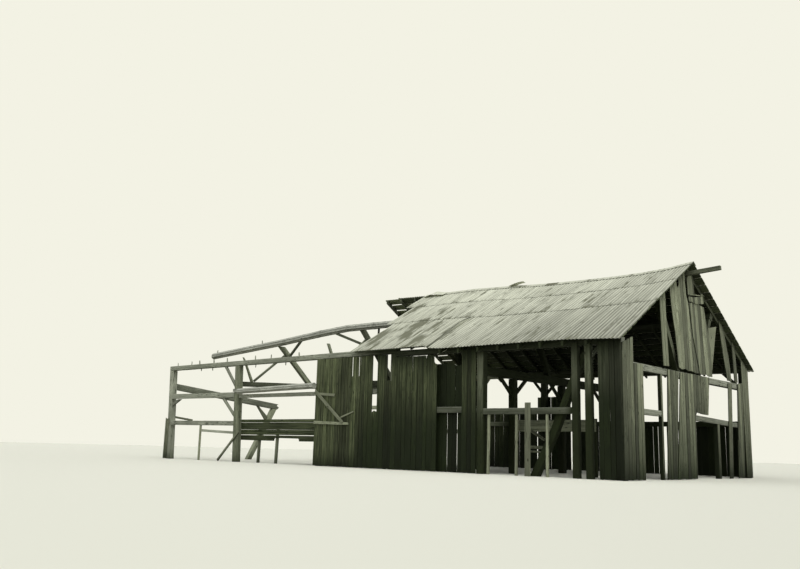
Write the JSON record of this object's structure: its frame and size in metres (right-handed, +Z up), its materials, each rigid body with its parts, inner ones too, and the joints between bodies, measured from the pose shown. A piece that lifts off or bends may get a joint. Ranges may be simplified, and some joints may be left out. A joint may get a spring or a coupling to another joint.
{
  "type": "derelict timber-frame barn",
  "caption": "Long gabled timber-frame barn, one half bare racked frame, the other under a sagging corrugated metal roof with torn board siding.",
  "frame": {"origin": "centre of the bounding box at ground level", "axes": "+X along the ridge to the roofed gable, -Y out of the long front wall, +Z up"},
  "size_m": [22.5715, 10.5, 6.9745],
  "materials": {
    "dark_timber": "old sawn timber, dark and dry, kept out of the rain",
    "grey_timber": "hewn timber weathered to silver grey",
    "bleached_log": "round-edged hewn log bleached pale by the sun",
    "brown_timber": "hewn timber, grey brown with age",
    "dark_boards": "rough sawn upright boards, dark with age",
    "grey_boards": "rough sawn boards weathered grey",
    "roof_boards": "rough sawn roof boards, dark underneath",
    "roof_metal": "corrugated galvanised sheet, dull with rust patches"
  },
  "bodies": {
    "root": {"left_corner_post": "grey_timber", "front_posts": "brown_timber", "bay_posts": "brown_timber", "back_posts": "brown_timber", "aisle_posts": "dark_timber", "leaning_centre_post": "brown_timber", "front_plate": "grey_timber", "back_plate": "brown_timber", "left_tie_beam": "grey_timber", "tie_beams": "dark_timber", "right_tie_beam": "grey_timber", "right_lower_beam": "grey_timber", "front_girts": "grey_timber", "back_girts": "brown_timber", "hewn_log": "bleached_log", "front_braces": "grey_timber", "back_braces": "brown_timber", "tie_braces": "dark_timber", "slumped_purlin": "bleached_log", "front_purlin": "dark_timber", "back_purlin": "dark_timber", "purlin_posts": "dark_timber", "leaning_purlin_posts": "brown_timber", "front_rafters": "dark_timber", "back_rafters": "dark_timber", "front_roof_boards": "roof_boards", "back_roof_boards": "roof_boards", "bare_roof_boards": "roof_boards", "front_roof_metal": "roof_metal", "back_roof_metal": "roof_metal", "hay_beam": "grey_boards", "front_boards": "dark_boards", "recess_boards": "dark_boards", "right_panel_boards": "dark_boards", "corner_boards": "grey_boards", "stall_panel": "dark_boards", "stall_posts": "brown_timber", "bay_uprights": "grey_boards", "manger_boards": "dark_boards", "fallen_timber": "dark_timber", "gable_upper_boards": "grey_boards", "gable_lower_boards": "grey_boards", "gable_studs": "grey_boards", "back_boards": "dark_boards", "loose_boards": "grey_boards"}
  },
  "joints": []
}
